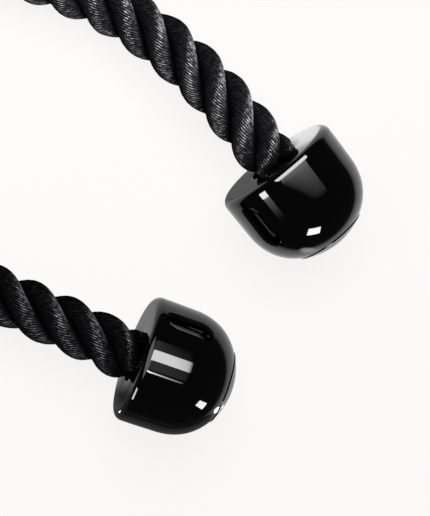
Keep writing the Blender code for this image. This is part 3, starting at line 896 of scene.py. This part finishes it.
def collar(finish):
    """The crimped band: one edge loop drawn to the outline of the two ropes, drawn out along them,
    punched in between them, then given its wall and its rolled rims."""
    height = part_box("collar")[1].z / 2
    piece = new_circle(
        "crimp_collar", COLLAR_SIDES, height, (0, -COLLAR_LENGTH / 2, height),
        rotation=(math.pi / 2, math.pi / COLLAR_SIDES, 0),
    )
    bpy.ops.object.transform_apply(location=True, rotation=True, scale=True)
    for vertex in piece.data.vertices:
        vertex.co.x += math.copysign(LEG_X, vertex.co.x)
    bpy.ops.object.mode_set(mode="EDIT")
    bpy.ops.mesh.select_all(action="DESELECT")
    bpy.ops.object.mode_set(mode="OBJECT")
    for edge in piece.data.edges:
        ends = [piece.data.vertices[at] for at in edge.vertices]
        if min(end.co.x for end in ends) < 0 < max(end.co.x for end in ends):
            for selected in (edge, *ends):
                selected.select = True
    bpy.ops.object.mode_set(mode="EDIT")
    bpy.ops.mesh.subdivide(number_cuts=COLLAR_TOP_CUTS)
    bpy.ops.mesh.select_all(action="SELECT")
    for _ in range(COLLAR_STATIONS):
        draw_out(0, COLLAR_LENGTH / COLLAR_STATIONS, 0)
    bpy.ops.mesh.select_all(action="SELECT")
    bpy.ops.mesh.normals_make_consistent(inside=False)
    bpy.ops.object.mode_set(mode="OBJECT")
    for vertex in piece.data.vertices:
        across = min(abs(vertex.co.x) / DENT_HALF_WIDTH, 1)
        along = min(abs(vertex.co.y) / DENT_HALF_LENGTH, 1)
        if vertex.co.z > height:
            punched = (math.cos(across * math.pi / 2) * math.cos(along * math.pi / 2)) ** 2
            vertex.co.z -= DENT_DEPTH * punched
    wall = piece.modifiers.new("wall", "SOLIDIFY")
    wall.thickness = COLLAR_WALL
    wall.offset = -1
    wall.use_even_offset = True
    rims = piece.modifiers.new("rims", "BEVEL")
    rims.width = COLLAR_RIM_ROUND
    rims.segments = COLLAR_RIM_SEGMENTS
    rims.limit_method = "ANGLE"
    rims.angle_limit = math.radians(COLLAR_RIM_ANGLE)
    for modifier in ("wall", "rims"):
        bpy.ops.object.modifier_apply(modifier=modifier)
    bpy.ops.object.shade_smooth_by_angle(angle=math.radians(COLLAR_SMOOTH_ANGLE))
    put(piece, Matrix.Identity(4), "yoke", "chrome", finish, "collar")


def link_ring(finish):
    """The oval link: a round bar drawn out straight through its butt weld, spun round the far bend,
    drawn back and spun round the near bend."""
    y, z = RING_NEAR
    far = y + RING_STRAIGHT
    top = z + RING_BEND
    place = (0, y, top)
    piece = new_circle("oval_link", RING_SIDES, RING_WIRE / 2, place, rotation=(math.pi / 2, 0, 0))
    bpy.ops.object.mode_set(mode="EDIT")
    bpy.ops.mesh.select_all(action="SELECT")
    weld = RING_STRAIGHT / 2
    stations = [(weld + offset * MM, swell) for offset, swell in WELD_BEAD] + [(RING_STRAIGHT, 1.0)]
    before, size = 0, 1.0
    for distance, swell in stations:
        draw_out(0, distance - before, 0)
        share = swell / size
        bpy.ops.transform.resize(value=(share, 1, share), center_override=(0, y + distance, top))
        before, size = distance, swell
    bpy.ops.mesh.spin(steps=RING_BEND_STEPS, angle=math.pi, center=(0, far, z), axis=(1, 0, 0))
    draw_out(0, -RING_STRAIGHT, 0)
    bpy.ops.mesh.spin(steps=RING_BEND_STEPS, angle=math.pi, center=(0, y, z), axis=(1, 0, 0))
    finish_shape()
    put(piece, Matrix.Identity(4), "ring", "chrome", finish, "link_ring")


def fitted(along, start_fit, end_fit):
    """The strands' crown radius along a line, eased down where the rope enters collar and cap."""
    into_start = smoothstep(1 - (along - start_fit) / FIT_EASE)
    into_end = smoothstep(1 - (end_fit - along) / FIT_EASE)
    return STRAND_CROWN - (STRAND_CROWN - FIT_RADIUS) * np.maximum(into_start, into_end)


def leg(side, finish, seed):
    """A leg's rope, from inside the collar to inside the cap's throat."""
    free = leg_line(side)
    length = distances(free)[-1]
    inside_collar = free[0] + np.array((0, COLLAR_OVERLAP, 0))
    inside_cap = free[-1] + cap_axis(side) * THROAT_OVERLAP
    line = np.vstack([inside_collar, free, inside_cap])
    along = distances(line)
    radii = fitted(along, COLLAR_OVERLAP, COLLAR_OVERLAP + length)
    phase = math.radians(LAY_PHASES[side])
    turn = YARN_TURN_SHARES[side]
    piece, path = laid_rope(f"laid_rope_{side}", line, radii, phase, finish, seed, turn)
    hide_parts(f"rope_bend_{side}", f"rope_leg_{side}")
    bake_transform(piece)


def set_camera():
    """The photograph's camera: a long lens almost straight above the two ends."""
    turn = math.radians(VIEW_TURN)
    right = Vector((math.sin(turn), -math.cos(turn), 0))
    up = Vector((math.cos(turn), math.sin(turn), 0))
    towards = (VIEW_TILT[0] * right + VIEW_TILT[1] * up + Vector((0, 0, 1))).normalized()
    across = up.cross(towards).normalized()
    upward = towards.cross(across)
    data = bpy.data.cameras.new("camera")
    data.sensor_fit = "VERTICAL"
    data.sensor_height = SENSOR_HEIGHT
    data.lens = SENSOR_HEIGHT * VIEW_DISTANCE / VIEW_HEIGHT
    data.clip_start = 0.01
    data.clip_end = 20
    camera = bpy.data.objects.new("camera", data)
    place = Matrix((across, upward, towards)).transposed().to_4x4()
    place.translation = VIEW_TARGET + VIEW_DISTANCE * towards
    camera.matrix_world = place
    bpy.context.collection.objects.link(camera)
    bpy.context.scene.camera = camera


def reached_by(owner, lit=(), unlit=()):
    """The lamp or the glowing floor lights only the lit pieces, or all but the unlit ones."""
    reached = bpy.data.collections.new(owner.name)
    for piece in lit or unlit:
        reached.objects.link(bpy.data.objects[piece])
    owner.light_linking.receiver_collection = reached
    for entry in reached.collection_objects if unlit else ():
        entry.light_linking.link_state = "EXCLUDE"


def lamp(name, place, aim, along, size, brightness, lit=(), unlit=(), gloss_only=False):
    """A soft box facing its aim, its first side along a direction. Its brightness is its radiance."""
    place, aim = Vector(place), Vector(aim)
    back = (place - aim).normalized()
    first = Vector(along) - back * back.dot(Vector(along))
    first.normalize()
    data = bpy.data.lights.new(name, "AREA")
    data.shape = "RECTANGLE"
    data.size, data.size_y = size
    data.energy = AREA_LAMP_WATTS * size[0] * size[1] * brightness
    made = bpy.data.objects.new(name, data)
    turn = Matrix((first, back.cross(first), back)).transposed().to_4x4()
    turn.translation = place
    made.matrix_world = turn
    made.visible_camera = False
    made.visible_diffuse = not gloss_only
    bpy.context.collection.objects.link(made)
    if lit or unlit:
        reached_by(made, lit, unlit)
    return data


def fade_out(data, way, full, none):
    """The lamp's brightness falls off along one of its sides, or round its middle."""
    data.use_nodes = True
    tree = data.node_tree
    place = add_node(tree, "ShaderNodeNewGeometry").outputs["Parametric"]
    if way == "round":
        ends = {0: place, 1: (0.5, 0.5, 0)}
        away = add_node(tree, "ShaderNodeVectorMath", ends, operation="DISTANCE")
        curve = "SMOOTHSTEP"
    else:
        away = add_node(tree, "ShaderNodeSeparateXYZ", {"Vector": place}).outputs[way]
        curve = "LINEAR"
    strength = add_node(
        tree, "ShaderNodeMapRange", {"Value": away, "From Min": none, "From Max": full},
        interpolation_type=curve,
    )
    feed(tree, tree.nodes["Emission"], {"Strength": strength})


def sheet_glow(side, pieces):
    """The white sheet under a cap as that cap's gloss shows it: the sum of its patches, and no darker
    than the room."""
    (x, y), *_ = SHEETS[side][0]
    data = lamp(
        f"sheet_{side}", (x, y, SHEET_LEVEL), (x, y, 1), (1, 0, 0), (SHEET_SIZE, SHEET_SIZE), 1,
        lit=pieces, gloss_only=True,
    )
    data.use_nodes = True
    tree = data.node_tree
    place = add_node(tree, "ShaderNodeNewGeometry")
    total = 0
    for (x, y), half, turn, full, brightness in SHEETS[side]:
        patch = add_node(
            tree, "ShaderNodeMapping",
            {
                "Vector": place.outputs["Position"], "Location": (x, y, 0),
                "Rotation": (0, 0, math.radians(turn)), "Scale": (*half, 1),
            },
            vector_type="TEXTURE",
        )
        away = add_node(tree, "ShaderNodeVectorMath", {0: patch}, operation="LENGTH")
        lit = add_node(
            tree, "ShaderNodeMapRange",
            {"Value": away, "From Min": 1, "From Max": full, "To Max": brightness},
            interpolation_type="SMOOTHSTEP",
        )
        total = add_node(tree, "ShaderNodeMath", {0: lit, 1: total}, operation="ADD")
    shown = add_node(tree, "ShaderNodeMath", {0: total, 1: ROOM_GLOSS}, operation="MAXIMUM")
    feed(tree, tree.nodes["Emission"], {"Strength": shown})


def floor_material():
    """White acrylic sheet: a pale glow to the camera and to glass, a matt white surface to the rest."""
    made, tree, shader = new_material("acrylic_white_satin")
    feed(tree, shader, {"Base Color": linear("f3f2f0"), "Roughness": 0.7})
    ray = add_node(tree, "ShaderNodeLightPath")
    straight = add_node(
        tree, "ShaderNodeMath",
        {0: ray.outputs["Is Camera Ray"], 1: ray.outputs["Is Transmission Ray"]}, operation="MAXIMUM",
    )
    share = add_node(tree, "ShaderNodeMapRange", {"Value": straight, "To Min": 1, "To Max": FLOOR_GLOW})
    white = add_node(tree, "ShaderNodeEmission", {"Color": linear("fefdfb"), "Strength": 1})
    final = add_node(tree, "ShaderNodeMixShader", {0: share, 1: shader, 2: white})
    feed(tree, tree.nodes["Material Output"], {"Surface": final})
    return made


def room():
    """A white room to the camera, and a dim one to the pieces, dimmer still to their gloss."""
    world = bpy.data.worlds.new("room")
    bpy.context.scene.world = world
    world.use_nodes = True
    tree = world.node_tree
    tree.nodes.clear()
    ray = add_node(tree, "ShaderNodeLightPath")
    seen = add_node(tree, "ShaderNodeBackground", {"Color": linear("fcfbf9"), "Strength": 1})
    soft = add_node(tree, "ShaderNodeBackground", {"Color": linear("ffffff"), "Strength": ROOM_LIGHT})
    gloss = add_node(tree, "ShaderNodeBackground", {"Color": linear("ffffff"), "Strength": ROOM_GLOSS})
    around = add_node(tree, "ShaderNodeMixShader", {0: ray.outputs["Is Glossy Ray"], 1: soft, 2: gloss})
    final = add_node(tree, "ShaderNodeMixShader", {0: ray.outputs["Is Camera Ray"], 1: around, 2: seen})
    add_node(tree, "ShaderNodeOutputWorld", {"Surface": final})


def studio():
    """The floor, the room and the lamps."""
    bpy.ops.object.select_all(action="DESELECT")
    bpy.ops.mesh.primitive_plane_add(size=FLOOR_SIZE)
    floor = bpy.context.object
    floor.name = "floor"
    floor.data.materials.append(floor_material())
    room()
    caps = {side: (f"ball_cap_{side}", f"snap_plug_{side}") for side in LEG_ROUTES}
    groups = {
        "caps": caps["left"] + caps["right"],
        "ropes": tuple(f"laid_rope_{part}" for part in (*LEG_ROUTES, "eye")),
        "floor": ("floor",),
        "left": ("laid_rope_left",),
        "chrome": ("crimp_collar", "oval_link"),
    }
    reached_by(floor, unlit=groups["caps"] + groups["ropes"])
    for side, lamps in CAP_LAMPS.items():
        sheet_glow(side, caps[side])
        for name, (place, along, size, brightness, fade) in lamps.items():
            data = lamp(
                f"{name}_{side}", place, CAP_AIMS[side], along, size, brightness,
                lit=caps[side], gloss_only=True,
            )
            if fade:
                fade_out(data, *fade)
    for name, (place, aim, size, brightness) in ROOM_LAMPS.items():
        lit, unlit = (sum((groups[key] for key in keys), ()) for keys in ROOM_LAMP_LINKS[name])
        for_chrome = name.startswith("chrome")
        data = lamp(name, place, aim, (1, 0, 0), size, brightness, lit, unlit, gloss_only=for_chrome)
        if for_chrome:
            fade_out(data, *CHROME_FADE)


set_camera()
rope = twisted_nylon()
plastic = gloss_abs()
chrome = chromed_steel()
zinc = zinc_steel()
melted = melted_nylon()
for number, side in enumerate(LEG_ROUTES):
    leg(side, rope, LEG_SEED + number)
    cap_body(side, plastic)
    end_plug(side, plastic)
    washer(side, zinc)
    ferrule(side, zinc)
    rope_tail(side, rope, melted, TAIL_SEED + number)
rope_eye(rope, EYE_SEED)
collar(chrome)
link_ring(chrome)
studio()
bpy.context.scene.view_settings.view_transform = "Standard"
